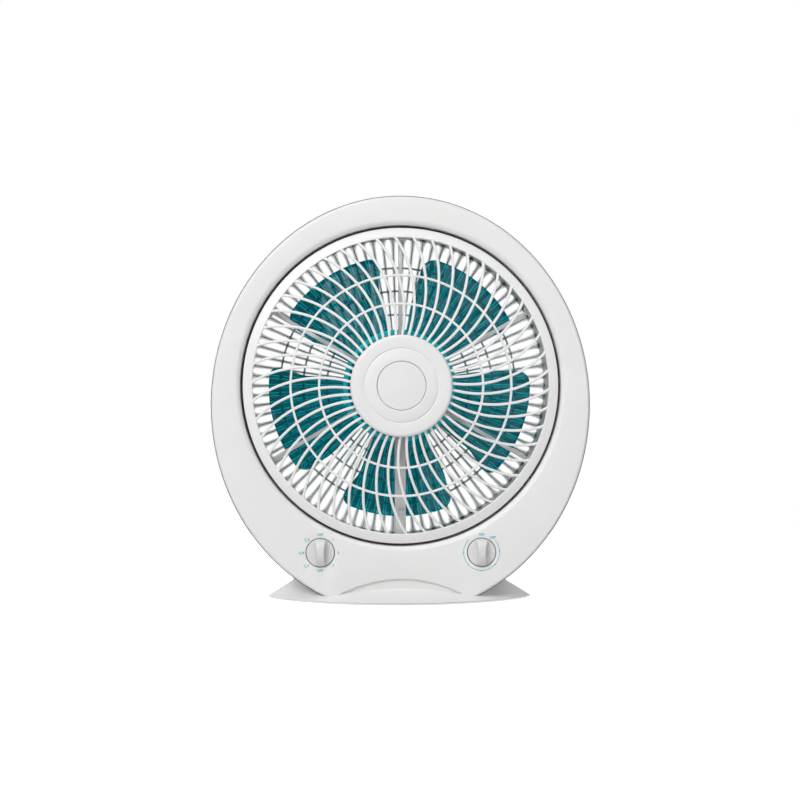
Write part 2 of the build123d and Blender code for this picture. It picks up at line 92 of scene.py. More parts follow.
# %% [markdown]
# ## Small helpers
# A bmesh is Blender's editable mesh. These helpers start one, turn a profile about Z, and hand a
# finished mesh over as an object that rides on a body and stands for its plain CAD node.

# %% Profiles, tubes and loops


def spun(bm, outline, round_by=0.0, steps=128, segments=3):
    """Turn a closed outline of (radius, forward) points about Z, its corners rounded first."""
    points = [bm.verts.new((r, 0, h)) for r, h in outline]
    face = bm.faces.new(points)
    if round_by:
        corners = [v for v in points if v.co.x > 1e-6]
        bmesh.ops.bevel(bm, geom=corners, offset=round_by, offset_type="OFFSET", segments=segments,
                        profile=0.5, affect="VERTICES", material=-1, clamp_overlap=True)
        face = [f for f in bm.faces if f.is_valid and all(abs(v.co.y) < 1e-9 for v in f.verts)][-1]
    edges = list(face.edges)
    bmesh.ops.delete(bm, geom=[face], context="FACES_ONLY")
    rim = list({v for e in edges for v in e.verts})
    bmesh.ops.spin(bm, geom=rim + edges, cent=(0, 0, 0), axis=(0, 0, 1), angle=2 * pi,
                   steps=steps, use_merge=True)
    bmesh.ops.remove_doubles(bm, verts=bm.verts, dist=1e-7)


def ring_loop(bm, a, b, drop, height, sides=SIDES):
    """An ellipse of edges, wider than tall or the other way, at one forward distance."""
    loop = bmesh.ops.create_circle(bm, segments=sides, radius=1.0)["verts"]
    bmesh.ops.scale(bm, vec=(a, b, 1.0), verts=loop)
    bmesh.ops.translate(bm, vec=(0, -drop, height), verts=loop)
    return list({e for v in loop for e in v.link_edges})


def bridge(bm, first, second):
    bmesh.ops.bridge_loops(bm, edges=first + second)


def rounded(bm, edges, size, segments):
    bmesh.ops.bevel(bm, geom=edges, offset=size, offset_type="OFFSET", segments=segments,
                    profile=0.5, affect="EDGES", material=-1, clamp_overlap=True)


def drum(bm, radius, low, high, x=0.0, y=0.0, segments=48):
    """A closed cylinder along Z."""
    place = Matrix.Translation((x, y, (low + high) / 2))
    return bmesh.ops.create_cone(bm, cap_ends=True, segments=segments, radius1=radius,
                                 radius2=radius, depth=high - low, matrix=place)["verts"]


def block(bm, size, place, round_by=0.0, segments=2):
    """A box of three sides, moved by a matrix, its edges rounded."""
    verts = bmesh.ops.create_cube(bm, size=1.0)["verts"]
    bmesh.ops.scale(bm, vec=size, verts=verts)
    edges = list({e for v in verts for e in v.link_edges})
    if round_by:
        made = bmesh.ops.bevel(bm, geom=edges, offset=round_by, offset_type="OFFSET", segments=segments,
                               profile=0.5, affect="EDGES", material=-1, clamp_overlap=True)
        verts = list({v for f in made["faces"] for v in f.verts} | {v for v in verts if v.is_valid})
    bmesh.ops.transform(bm, matrix=place, verts=verts)
    return verts


def around(bm, verts, count):
    """Copies of a shape turned about Z in equal steps."""
    faces = list({f for v in verts for f in v.link_faces})
    edges = list({e for v in verts for e in v.link_edges})
    bmesh.ops.spin(bm, geom=verts + edges + faces, cent=(0, 0, 0), axis=(0, 0, 1),
                   angle=2 * pi * (count - 1) / count, steps=count - 1, use_duplicate=True)


def polar(radius, angle):
    return radius * cos(radians(angle)), radius * sin(radians(angle))


# %% [markdown]
# A finished piece stays at the origin, with its place in its mesh, so that patterns on Object
# coordinates don't slide when the model is exported. Booleans and bevels are modifiers here, baked
# into plain mesh at the end, and shading is smooth except across edges that are really sharp.

# %% Hand a mesh over as a finished piece


def cutter(bm, place=TO_FAN):
    """A solid that a Boolean takes away."""
    bmesh.ops.recalc_face_normals(bm, faces=bm.faces)
    bmesh.ops.transform(bm, matrix=place, verts=bm.verts)
    mesh = bpy.data.meshes.new("cutter")
    bm.to_mesh(mesh)
    bm.free()
    obj = bpy.data.objects.new("cutter", mesh)
    bpy.context.scene.collection.objects.link(obj)
    return obj


def finish_piece(name, bm, body, finish, stands_for=(), place=TO_FAN, cuts=(), edge=0.0, sharp=34):
    """Place the mesh, cut it, soften its edges, shade it and put it on its body."""
    bmesh.ops.recalc_face_normals(bm, faces=bm.faces)
    bmesh.ops.transform(bm, matrix=place, verts=bm.verts)
    mesh = bpy.data.meshes.new(name)
    bm.to_mesh(mesh)
    bm.free()
    obj = bpy.data.objects.new(name, mesh)
    bpy.context.scene.collection.objects.link(obj)
    for cut in cuts:
        less = obj.modifiers.new("cut", "BOOLEAN")
        less.operation = "DIFFERENCE"
        less.solver = "EXACT"
        less.object = cut
    if edge:
        soft = obj.modifiers.new("soft_edges", "BEVEL")
        soft.width = edge
        soft.segments = 2
        soft.limit_method = "ANGLE"
        soft.angle_limit = radians(sharp)
    if cuts or edge:
        bake(obj)
    obj.data.materials.clear()
    obj.data.materials.append(finish)
    smooth(obj.data, sharp)
    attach(obj, body)
    if stands_for:
        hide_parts(*stands_for)
    for cut in cuts:
        bpy.data.objects.remove(cut)
    print(f"{name}: {len(obj.data.polygons)} faces on {body}")


def bake(obj):
    """Turn an object's modifiers into plain mesh."""
    bpy.context.view_layer.update()
    seen = obj.evaluated_get(bpy.context.evaluated_depsgraph_get())
    done = bpy.data.meshes.new_from_object(seen)
    obj.modifiers.clear()
    obj.data = done


def smooth(mesh, angle):
    """Smooth shading that stops at edges sharper than an angle."""
    mesh.polygons.foreach_set("use_smooth", [True] * len(mesh.polygons))
    mesh.set_sharp_from_angle(angle=radians(angle))
    mesh.update()


# %% [markdown]
# ## Finishes
# Moulded plastic is never one flat colour: flow leaves faint clouds in it, the mould's spark-eroded
# face leaves a fine grain, and handling changes its gloss a little. One recipe gives all three with
# noise on Object coordinates, and each part then gets its own colour, grain and gloss.

# %% The recipe for a moulded plastic


def material(name, colour, roughness, metallic=0.0, cloud=0.03, grain=0.02, grain_scale=1400.0,
             uneven=0.05, **sockets):
    """A Principled surface with a clouded colour, uneven gloss and a fine grain."""
    made = bpy.data.materials.new(name)
    made.use_nodes = True
    tree = made.node_tree
    shader = tree.nodes["Principled BSDF"]
    shader.inputs["Metallic"].default_value = metallic
    for socket, value in sockets.items():
        shader.inputs[socket.replace("_", " ")].default_value = value
    place = tree.nodes.new("ShaderNodeTexCoord").outputs["Object"]
    clouds = tree.nodes.new("ShaderNodeTexNoise")
    clouds.inputs["Scale"].default_value = 22.0
    clouds.inputs["Detail"].default_value = 3.0
    tree.links.new(place, clouds.inputs["Vector"])
    ramp = tree.nodes.new("ShaderNodeValToRGB")
    ramp.color_ramp.elements[0].position = 0.3
    ramp.color_ramp.elements[1].position = 0.7
    ramp.color_ramp.elements[0].color = [c * (1 - cloud) for c in colour] + [1]
    ramp.color_ramp.elements[1].color = [min(1.0, c * (1 + cloud)) for c in colour] + [1]
    tree.links.new(clouds.outputs["Fac"], ramp.inputs["Fac"])
    tree.links.new(ramp.outputs["Color"], shader.inputs["Base Color"])
    gloss = tree.nodes.new("ShaderNodeTexNoise")
    gloss.inputs["Scale"].default_value = 160.0
    tree.links.new(place, gloss.inputs["Vector"])
    spread = tree.nodes.new("ShaderNodeMapRange")
    spread.inputs["To Min"].default_value = max(0.0, roughness - uneven)
    spread.inputs["To Max"].default_value = roughness + uneven
    tree.links.new(gloss.outputs["Fac"], spread.inputs["Value"])
    tree.links.new(spread.outputs["Result"], shader.inputs["Roughness"])
    fine = tree.nodes.new("ShaderNodeTexNoise")
    fine.inputs["Scale"].default_value = grain_scale
    fine.inputs["Detail"].default_value = 2.0
    tree.links.new(place, fine.inputs["Vector"])
    bump = tree.nodes.new("ShaderNodeBump")
    bump.inputs["Strength"].default_value = grain
    bump.inputs["Distance"].default_value = 0.001
    tree.links.new(fine.outputs["Fac"], bump.inputs["Height"])
    tree.links.new(bump.outputs["Normal"], shader.inputs["Normal"])
    return made


# %% [markdown]
# The white parts differ a little in gloss and grain, as parts from different moulds do. The rear
# grille is given subsurface scattering, so that light from behind softens its thin ribs. The
# blades are clear teal plastic: a Principled shader with transmission, and a Transparent shader
# that only shadow rays meet, because glass would otherwise cast a solid shadow.

# %% The fan's own finishes
housing_white = material("housing_white", (0.80, 0.80, 0.795), 0.42, cloud=0.012, grain=0.05)
foot_white = material("foot_white", (0.80, 0.80, 0.795), 0.40, cloud=0.012, grain=0.05)
grille_white = material("grille_white", (0.82, 0.815, 0.81), 0.34, cloud=0.010, grain=0.02)
cap_white = material("cap_white", (0.80, 0.80, 0.80), 0.40, cloud=0.010, grain=0.05)
badge_white = material("badge_white", (0.80, 0.80, 0.80), 0.30, cloud=0.008, grain=0.02, grain_scale=2600)
bracket_white = material("bracket_white", (0.70, 0.70, 0.70), 0.48, cloud=0.02, grain=0.05)
# Painted shade: a near-black for the bracket's ring, standing in for the shade in the gap round the grille.
painted_groove_shade = material("painted_groove_shade", (0.10, 0.10, 0.105), 0.6, cloud=0.08, grain=0.05)
rear_white = material("rear_white", (0.90, 0.90, 0.90), 0.50, cloud=0.02, grain=0.06,
                      Subsurface_Weight=0.9, Subsurface_Scale=0.016, Subsurface_Radius=(1, 1, 1))
# Painted shade: a grey for the front edges of the rear grille's ribs and rings, which lie in shade.
rib_edge_painted_shade = material("rib_edge_painted_shade", (0.62, 0.62, 0.625), 0.55, cloud=0.08, grain=0.06)
# Painted shade: a dark grey for the thin line round the bezel, where the real body only has shade.
painted_bezel_shade = material("painted_bezel_shade", (0.13, 0.13, 0.135), 0.6, cloud=0.08, grain=0.05)
dial_grey = material("dial_grey", (0.70, 0.70, 0.70), 0.30, cloud=0.012, grain=0.02)
print_teal = material("print_teal", (0.0, 0.46, 0.55), 0.55, cloud=0.06, grain=0.04)
nut_teal = material("nut_teal", (0.0, 0.12, 0.14), 0.30)
rubber_grey = material("rubber_grey", (0.40, 0.40, 0.40), 0.85, cloud=0.08, grain=0.25, grain_scale=700)
zinc = material("zinc", (0.62, 0.62, 0.64), 0.32, metallic=1.0, cloud=0.06, grain=0.05, grain_scale=900)
cast_metal = material("cast_metal", (0.55, 0.55, 0.57), 0.45, metallic=1.0, cloud=0.08, grain=0.2,
                      grain_scale=500)
core_steel = material("core_steel", (0.30, 0.30, 0.32), 0.40, metallic=1.0, cloud=0.12, grain=0.1)
copper_wire = material("copper_wire", (0.72, 0.30, 0.13), 0.30, metallic=1.0, cloud=0.15, grain=0.5,
                       grain_scale=260)
bronze = material("bronze", (0.55, 0.36, 0.18), 0.42, metallic=1.0, cloud=0.10, grain=0.15)
switch_black = material("switch_black", (0.025, 0.025, 0.027), 0.45, cloud=0.15, grain=0.08)
lead_grey = material("lead_grey", (0.55, 0.55, 0.55), 0.55, cloud=0.05, grain=0.1)
blade_teal = material("blade_teal", (0.0, 0.42, 0.50), 0.03, cloud=0.02, grain=0.0, uneven=0.01,
                      Transmission_Weight=0.92, IOR=1.45)
# Painted light: a lighter teal for the hub's shoulder, standing in for light in the clear plastic.
shoulder_painted_light = material("shoulder_painted_light", (0.0, 0.62, 0.72), 0.25, cloud=0.05, grain=0.01)


def lets_light_by(made, tint):
    """Let lamps shine through a clear plastic, tinted, instead of casting a solid shadow."""
    tree = made.node_tree
    path = tree.nodes.new("ShaderNodeLightPath")
    clear = tree.nodes.new("ShaderNodeBsdfTransparent")
    clear.inputs["Color"].default_value = (*tint, 1)
    either = tree.nodes.new("ShaderNodeMixShader")
    tree.links.new(path.outputs["Is Shadow Ray"], either.inputs["Fac"])
    tree.links.new(tree.nodes["Principled BSDF"].outputs["BSDF"], either.inputs[1])
    tree.links.new(clear.outputs["BSDF"], either.inputs[2])
    tree.links.new(either.outputs["Shader"], tree.nodes["Material Output"].inputs["Surface"])


SHADOW_TINT = (0.16, 0.36, 0.38)
lets_light_by(blade_teal, SHADOW_TINT)
print(len(bpy.data.materials), "materials so far")

# %% [markdown]
# ## The housing
# The face is an upright ellipse with a round hole in it, so it can't be turned on a lathe. Two
# loops with the same number of points, one an ellipse and one a circle, are bridged instead, and
# the loops are then bevelled: a tight one round the outside and a softer one into the hole.

# %% Front housing
WELL_R = DIAL_R + 0.6 * MM
WELL_LOW = 52 * MM
ARCH_RISE = 20.5 * MM
ARCH_HALF = 73 * MM
ARCH_FOOT = 5 * MM
ARCH_DEEP = 3.2 * MM
BEZEL_STEP = 0.85 * MM
BEZEL_ROUND = 3.2 * MM
LIP_ROUND = 6 * MM
SEAM = 0.15 * MM
TRIM_Z = FOOT_Z + 1.2 * MM


def plane_cut(bm, height):
    """Trim a mesh flat at a height above the floor and close it, in the fan's own frame."""
    geom = list(bm.verts) + list(bm.edges) + list(bm.faces)
    made = bmesh.ops.bisect_plane(bm, geom=geom, plane_co=(0, height - AXIS_Z, 0), plane_no=(0, -1, 0),
                                  clear_outer=True)
    rim = [e for e in made["geom_cut"] if isinstance(e, bmesh.types.BMEdge)]
    bmesh.ops.holes_fill(bm, edges=rim, sides=0)


def housing_ring(loops):
    """A closed ring bridged through a list of edge loops."""
    bm = bmesh.new()
    made = [ring_loop(bm, *loop) for loop in loops]
    for first, second in zip(made, made[1:] + made[:1]):
        bridge(bm, first, second)
    return bm, made


def dial_wells():
    bm = bmesh.new()
    for side in (-1, 1):
        drum(bm, WELL_R, WELL_LOW, FACE + 5 * MM, side * DIAL_X, DIAL_Z, 96)
    return cutter(bm)


def arch():
    """The low arch over the foot's neck: a slice of a wide drum."""
    radius = (ARCH_HALF ** 2 + ARCH_RISE ** 2) / (2 * ARCH_RISE)
    bm = bmesh.new()
    centre = ARCH_FOOT + ARCH_RISE - radius - AXIS_Z
    drum(bm, radius, FACE - ARCH_DEEP, FACE + 10 * MM, 0, centre, 256)
    return cutter(bm)


bezel_a, bezel_b, bezel_back = BODY_A - BEZEL_STEP, BODY_B - BEZEL_STEP, FACE - 5 * MM
bm, loops = housing_ring([(BODY_A, BODY_B, BODY_DROP, SPLIT + SEAM),
                          (BODY_A, BODY_B, BODY_DROP, bezel_back),
                          (bezel_a, bezel_b, BODY_DROP, bezel_back), (bezel_a, bezel_b, BODY_DROP, FACE),
                          (DUCT_R, DUCT_R, 0, FACE), (DUCT_R, DUCT_R, 0, SPLIT)])
rounded(bm, loops[3], BEZEL_ROUND, 6)
opening = [e for e in bm.edges if all(abs(v.co.z - FACE) < 1e-6 and abs(v.co.xy.length - DUCT_R) < 1e-5
                                      for v in e.verts)]
rounded(bm, opening, LIP_ROUND, 8)
plane_cut(bm, TRIM_Z)
finish_piece("front_shell", bm, "housing", housing_white, ["front_housing"],
             cuts=[dial_wells(), arch()], edge=0.35 * MM, sharp=40)

# %% [markdown]
# A thin dark line follows the bezel's outer edge. It is painted shade: a thin dark grey ring lies on
# a small step behind the bezel and stands in for the shade along that edge, so the line has a real
# edge and needs no mask.

# %% The painted shade line round the bezel
line_low, line_high = bezel_back + 0.02 * MM, bezel_back + 0.45 * MM
bm, loops = housing_ring([(BODY_A, BODY_B, BODY_DROP, line_low), (BODY_A, BODY_B, BODY_DROP, line_high),
                          (bezel_a, bezel_b, BODY_DROP, line_high), (bezel_a, bezel_b, BODY_DROP, line_low)])
plane_cut(bm, TRIM_Z)
finish_piece("bezel_painted_line", bm, "housing", painted_bezel_shade)

# %% [markdown]
# The rear housing is the same kind of ring with a far softer edge. The hand grip and the deep screw
# holes are cut into it by Booleans, because they land on a curved edge where loops would fight.

# %% Rear housing
CASE_SCREWS = [polar(192 * MM, a) for a in (2, 62, 118, 178)] + [polar(198 * MM, a) for a in (-42, -138)]
WALL = 2.5 * MM
LIP_R = 168 * MM
BACK_ROUND = 18 * MM
GRIP_SIZE = (110 * MM, 15 * MM, 32 * MM)
GRIP_DROP = 17.5 * MM


def grip_pocket():
    bm = bmesh.new()
    top = BODY_B - BODY_DROP
    block(bm, GRIP_SIZE, Matrix.Translation((0, top - GRIP_DROP, BACK + 13 * MM)), 3 * MM, 3)
    return cutter(bm)


def screw_wells():
    bm = bmesh.new()
    for x, y in CASE_SCREWS:
        drum(bm, 3.8 * MM, BACK - 2 * MM, -4 * MM, x, y, 32)
    return cutter(bm)


bm, loops = housing_ring([(BODY_A, BODY_B, BODY_DROP, SPLIT - SEAM), (BODY_A, BODY_B, BODY_DROP, BACK),
                          (LIP_R, LIP_R, 0, BACK), (LIP_R, LIP_R, 0, BACK + WALL),
                          (DUCT_R, DUCT_R, 0, BACK + WALL), (DUCT_R, DUCT_R, 0, SPLIT)])
rounded(bm, loops[1], BACK_ROUND, 10)
plane_cut(bm, TRIM_Z)
finish_piece("rear_shell", bm, "housing", housing_white, ["rear_housing"],
             cuts=[grip_pocket(), screw_wells()], edge=0.5 * MM, sharp=40)

# %% [markdown]
# ## The foot
# Seen from above the foot is two arcs that meet in a point at each end. One arc comes from spinning
# a single vertex about its centre, and a mirror gives the other. Rounding the two tips gives each
# wing a narrow ridge instead of a knife edge. The loop is then extruded from level to level and
# scaled at each one: it sweeps in fast over the floor, leans in a little under the arch, and ends
# in an upright neck.

# %% Foot
NECK_L = 117.3 * MM
NECK_D = 57.0 * MM
NECK_Z = 20.0 * MM
ARC_STEPS = 48
TIP_ROUND = 2.6 * MM
# heights above the floor and half depths of the flare, in mm
flare = [(2.4, 94.0), (3.8, 89.0), (6.5, 79.5), (9.5, 69.5), (12.0, 61.5), (14.0, 57.0), (15.5, 55.6),
         (19.4, 55.9)]
rise = (FOOT_L - NECK_L) / (NECK_Z - FOOT_Z)
levels = [(FOOT_L - 0.8 * MM, FOOT_D - 0.8 * MM, FOOT_Z)]
levels += [(FOOT_L - rise * (z * MM - FOOT_Z), min(FOOT_D, d * MM), z * MM) for z, d in flare]
levels += [(NECK_L, NECK_D - 0.1 * MM, 26 * MM), (NECK_L, NECK_D, SEAT_Z)]


def lens_outline(bm, half_length, half_depth):
    """Two arcs that meet at the ends, as one closed loop of edges on the floor plane."""
    radius = (half_length ** 2 + half_depth ** 2) / (2 * half_depth)
    start = bm.verts.new((-half_length, 0, 0))
    bmesh.ops.spin(bm, geom=[start], cent=(0, radius - half_depth, 0), axis=(0, 0, 1),
                   angle=2 * asin(half_length / radius), steps=ARC_STEPS)
    arc = list(bm.verts) + list(bm.edges)
    bmesh.ops.mirror(bm, geom=arc, axis="Y", merge_dist=1e-6)
    bmesh.ops.remove_doubles(bm, verts=bm.verts, dist=1e-6)
    tips = [v for v in bm.verts if abs(v.co.x) > half_length - 1e-6]
    bmesh.ops.bevel(bm, geom=tips, offset=TIP_ROUND, offset_type="OFFSET", segments=4, profile=0.5,
                    affect="VERTICES", material=-1, clamp_overlap=True)


bm = bmesh.new()
lens_outline(bm, FOOT_L, FOOT_D)
size = (FOOT_L, FOOT_D, 0.0)
ring, verts = list(bm.edges), list(bm.verts)
bottom = ring
for level in levels:
    if level is not levels[0]:
        grown = bmesh.ops.extrude_edge_only(bm, edges=ring)["geom"]
        verts = [g for g in grown if isinstance(g, bmesh.types.BMVert)]
        ring = [g for g in grown if isinstance(g, bmesh.types.BMEdge) and all(v in verts for v in g.verts)]
    bmesh.ops.scale(bm, vec=(level[0] / size[0], level[1] / size[1], 1), verts=verts)
    bmesh.ops.translate(bm, vec=(0, 0, level[2] - size[2]), verts=verts)
    size = level
bmesh.ops.holes_fill(bm, edges=bottom + ring, sides=0)
finish_piece("foot", bm, "housing", foot_white, ["base_foot"], place=Matrix.Identity(4),
             sharp=28)

# %% [markdown]
# ## Rear grille and motor cover
# Ninety thin ribs are one bar, narrow at the front and wide at the back, copied round the axis by a
# spin. The bar is only a few dozen faces, because it is repeated so often.

# %% Rear grille
REAR_LOW = -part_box("rear_grille")[1].y
REAR_HIGH = -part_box("rear_grille")[0].y
REAR_RINGS = [80.3, 106.7, 132.8]
REAR_RIM_R = 165 * MM
REAR_RIBS = 90
RING_HALF = 1.1


def flat_ring(bm, outer, inner, low, high, round_by=0.5 * MM, steps=SIDES):
    spun(bm, [(inner, low), (outer, low), (outer, high), (inner, high)], round_by, steps)


bm = bmesh.new()
flat_ring(bm, DUCT_R - 0.1 * MM, REAR_RIM_R, REAR_LOW, REAR_HIGH)
flat_ring(bm, 56 * MM, 12 * MM, REAR_LOW, REAR_HIGH)
for radius in REAR_RINGS:
    flat_ring(bm, (radius + RING_HALF) * MM, (radius - RING_HALF) * MM, REAR_LOW + 0.1 * MM,
              REAR_HIGH - 0.1 * MM)
bar = bmesh.ops.create_cube(bm, size=1.0)["verts"]
long_edges = [e for e in {e for v in bar for e in v.link_edges}
              if abs((e.verts[0].co - e.verts[1].co).x) > 0.5]
bmesh.ops.subdivide_edges(bm, edges=long_edges, cuts=7, use_grid_fill=True)
bar = [v for v in bm.verts if abs(v.co.x) <= 0.5001 and abs(v.co.y) > 0.4]
for v in bar:
    # stations crowd towards the rim, where the rib swells to meet it
    t = 1 - (0.5 - v.co.x) ** 2
    radius = 55 * MM + 112 * MM * t
    swell = max(0.0, (radius - 156 * MM) / (11 * MM)) ** 2
    back_half = (1.25 + 1.1 * t + 2.9 * swell) * MM
    front_half = (0.62 + 0.9 * swell) * MM
    v.co = Vector((radius, (1 if v.co.y > 0 else -1) * (front_half if v.co.z > 0 else back_half),
                   REAR_HIGH if v.co.z > 0 else REAR_LOW))
around(bm, bar, REAR_RIBS)
finish_piece("rear_guard", bm, "housing", rear_white, ["rear_grille"])

# %% [markdown]
# Seen from the front, the edges of the ribs and rings read as thin grey lines. On the real moulding
# that is the same plastic in shade. Here a thin strip on each edge is given a greyer colour as
# painted shade, and it is not a part of its own.

# %% Painted shade on the front edges of the rear grille
EDGE = 0.12 * MM
bm = bmesh.new()
bar = block(bm, (108 * MM, 1.15 * MM, EDGE), Matrix.Translation((111 * MM, 0, REAR_HIGH - 0.4 * EDGE)))
around(bm, bar, REAR_RIBS)
for radius in REAR_RINGS:
    flat_ring(bm, (radius + 0.95) * MM, (radius - 0.95) * MM, REAR_HIGH - EDGE, REAR_HIGH + 0.1 * EDGE, 0)
finish_piece("rear_guard_painted_edges", bm, "housing", rib_edge_painted_shade)

# %% [markdown]
# The motor cover is turned on the same axis: one profile, spun. Its cooling slots are one rounded
# bar, copied round the axis and cut out of the dome together.

# %% Motor cover: a turned dome with a ring of cooling slots
COVER_BACK = -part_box("motor_cover")[1].y


def cover_slots():
    bm = bmesh.new()
    slot_bar = block(bm, (18 * MM, 3 * MM, 8 * MM), Matrix.Translation((27 * MM, 0, COVER_BACK)), 1.2 * MM, 3)
    around(bm, slot_bar, 16)
    return cutter(bm)


bm = bmesh.new()
dome = [(56, -43.5), (56, -46), (50.5, -46), (50, -66), (45, -74.5), (36, COVER_BACK / MM),
        (0, COVER_BACK / MM), (0, -76.8), (35, -76.8), (43.2, -72.8), (47.6, -65.5), (48, -43.5)]
spun(bm, [(r * MM, h * MM) for r, h in dome], 1.2 * MM, 128)
finish_piece("motor_dome", bm, "housing", rear_white, ["motor_cover"],
             cuts=[cover_slots()], edge=0.3 * MM, sharp=45)

# %% [markdown]
# ## The blade wheel
# A blade is a thin curved sheet. A flat grid is the natural start: one direction runs from the
# leading to the trailing edge, the other from hub to tip. Each grid point is moved to its radius
# and angle and lifted by the blade's pitch and camber, and solidify then gives the sheet its wall.

# %% Blade
WHEEL_HUB_R = 62.5 * MM
BLADES = 5
BLADE_MID = -6 * MM
BLADE_THICK = 2.0 * MM
FIRST_BLADE = 54


def blend_list(table, value):
    """Read a smooth value between (place, value) pairs."""
    for (x0, y0), (x1, y1) in zip(table, table[1:]):
        if value <= x1:
            t = (value - x0) / (x1 - x0)
            t = t * t * (3 - 2 * t)
            return y0 + (y1 - y0) * t
    return table[-1][1]


LEAD = [(0.040, -27.6), (0.080, -25.4), (0.104, -24.3), (0.132, -26.9), (0.150, -27.6)]
TRAIL = [(0.040, 29.9), (0.080, 28.4), (0.104, 27.2), (0.127, 25.5), (0.150, 24.2)]


def blade_point(across, up):
    """Where a grid point from -1 to 1 each way lands on the blade."""
    across = sin(across * pi / 2)
    corner = 13 * MM if across > 0 else 12 * MM
    edge_gap = min(corner, (1 - abs(across)) * 61 * MM)
    tip = BLADE_R - (corner - sqrt(corner ** 2 - (corner - edge_gap) ** 2))
    radius = WHEEL_HUB_R - 1.0 * MM + (tip - WHEEL_HUB_R + 1.0 * MM) * (up + 1) / 2
    lead, trail = blend_list(LEAD, radius), blend_list(TRAIL, radius)
    angle = radians(lead + (trail - lead) * (across + 1) / 2)
    x, y = -radius * sin(angle), radius * cos(angle)
    grow = (y - 38 * MM) / (112 * MM)
    pitch = radians(24 - 12 * grow)
    half = (60 + 25 * grow) * MM
    camber = (3.0 + 2.0 * grow) * MM
    return Vector((x, y, BLADE_MID - x * sin(pitch) + camber * (1 - (x / half) ** 2)))


bm = bmesh.new()
grid = bmesh.ops.create_grid(bm, x_segments=26, y_segments=16, size=1.0)["verts"]
for v in grid:
    v.co = blade_point(v.co.x, v.co.y)
bmesh.ops.solidify(bm, geom=list(bm.faces), thickness=BLADE_THICK)
rim = [e for e in bm.edges if e.calc_face_angle(0) > radians(60)]
rounded(bm, rim, 0.7 * MM, 2)
around(bm, list(bm.verts), BLADES)
to_first = Matrix.Rotation(radians(FIRST_BLADE - 90), 3, "Z")
bmesh.ops.rotate(bm, cent=(0, 0, 0), matrix=to_first, verts=bm.verts)
cup = [(4.0, -20), (9, -20), (9, 5), (60, 5), (60, -25), (62.5, -25), (62.5, 4.6), (58, 8), (4.0, 8)]
spun(bm, [(r * MM, h * MM) for r, h in cup])
web = block(bm, (51.5 * MM, 1.8 * MM, 14.5 * MM), Matrix.Translation((34.3 * MM, 0, -2 * MM)), 0.4 * MM, 1)
around(bm, web, BLADES)
finish_piece("blade_wheel", bm, "rotor", blade_teal, ["fan_blade"])

# %% [markdown]
# The rim of the hub looks lighter than the blades, though it is the same moulding. A narrow turned
# band on the shoulder of the cup has a lighter, solid teal as painted light, standing in for light in
# the plastic.

# %% The hub's shoulder, with painted light
bm = bmesh.new()
shoulder = [(57, 7.6), (62.4, 4.2), (62.5, 6.0), (60.4, 8.0), (57, 8.2)]
spun(bm, [(r * MM, h * MM) for r, h in shoulder], 0.4 * MM)
finish_piece("hub_shoulder_painted_light", bm, "rotor", shoulder_painted_light)

# %% [markdown]
# ## The fixed bracket
# Six spokes hold the small motor that turns the swirl grille. The bottom spoke is wide because it
# is a channel for that motor's lead. Spokes, channel and ring are one moulding; they are three
# meshes here, and the ring is a dark grey as painted shade, standing in for the shade in the gap
# round the grille.

# %% Bracket
RING_LOW = 40 * MM
SPOKE_MID = 35 * MM


def channel_cuts():
    bm = bmesh.new()
    turn = Matrix.Rotation(radians(270), 4, "Z")
    block(bm, (150 * MM, 9 * MM, 8 * MM), turn @ Matrix.Translation((104 * MM, 0, 33 * MM)))
    block(bm, (7.6 * MM, 5.6 * MM, 6 * MM), turn @ Matrix.Translation((138 * MM, 1 * MM, 38 * MM)))
    return cutter(bm)


bm = bmesh.new()
block(bm, (135 * MM, 12 * MM, 8 * MM), Matrix.Rotation(radians(270), 4, "Z")
      @ Matrix.Translation((97 * MM, 0, SPOKE_MID)), 0.6 * MM)
finish_piece("lead_channel", bm, "housing", bracket_white, cuts=[channel_cuts()],
             edge=0.2 * MM)

bm = bmesh.new()
for angle in (30, 90, 150, 210, 330):
    turn = Matrix.Rotation(radians(angle), 4, "Z")
    block(bm, (135 * MM, 4.4 * MM, 8 * MM), turn @ Matrix.Translation((97 * MM, 0, SPOKE_MID)), 0.8 * MM)
    block(bm, (5.6 * MM, 12 * MM, 6 * MM), turn @ Matrix.Translation((161.8 * MM, 0, 40.5 * MM)), 0.8 * MM)
spun(bm, [(r * MM, h * MM) for r, h in [(12, 25), (31, 25), (31, 46), (28.6, 46), (28.6, 27.5), (12, 27.5)]],
     0.5 * MM, 96)
finish_piece("spoke_bracket", bm, "housing", bracket_white, ["grille_bracket"])
bm = bmesh.new()
# The ring is dark grey as painted shade for the gap round the grille; it is one white moulding with the
# spokes.
flat_ring(bm, DUCT_R - 0.3 * MM, 163.5 * MM, RING_LOW, 43.5 * MM, 0.6 * MM)
finish_piece("bracket_ring_painted_dark", bm, "housing", painted_groove_shade)

# %% [markdown]
# ## The swirl grille
# Each rib starts at the hub plate, leans back a little, then curls forward to the rim. It is one
# small rounded rectangle extruded a step at a time: every step is carried to the next station
# along the curve, turned to face along it. One rib is then spun round into fifty.

# %% Swirl rib path
SWIRL_RIBS = 50
RIM_OUT = width("rotating_grille") / 2
RIB_END = 162 * MM
RIB_WIDE = 2.9 * MM
RIB_DEEP = 6.0 * MM
CURL = 105.9 * MM
RIB_STEPS = 18
SWIRL_START = 89
SWIRL_RINGS = (88.6, 119.4)


def swirl_angle(radius):
    """How far round a rib has swept at a radius: a formula fitted to the measured ribs."""
    u = (radius - HUB_R) / CURL
    return radians(-17.9 * u + 61.8 * u ** 2 - 54.1 * u ** 3 + 20.6 * u ** 4)


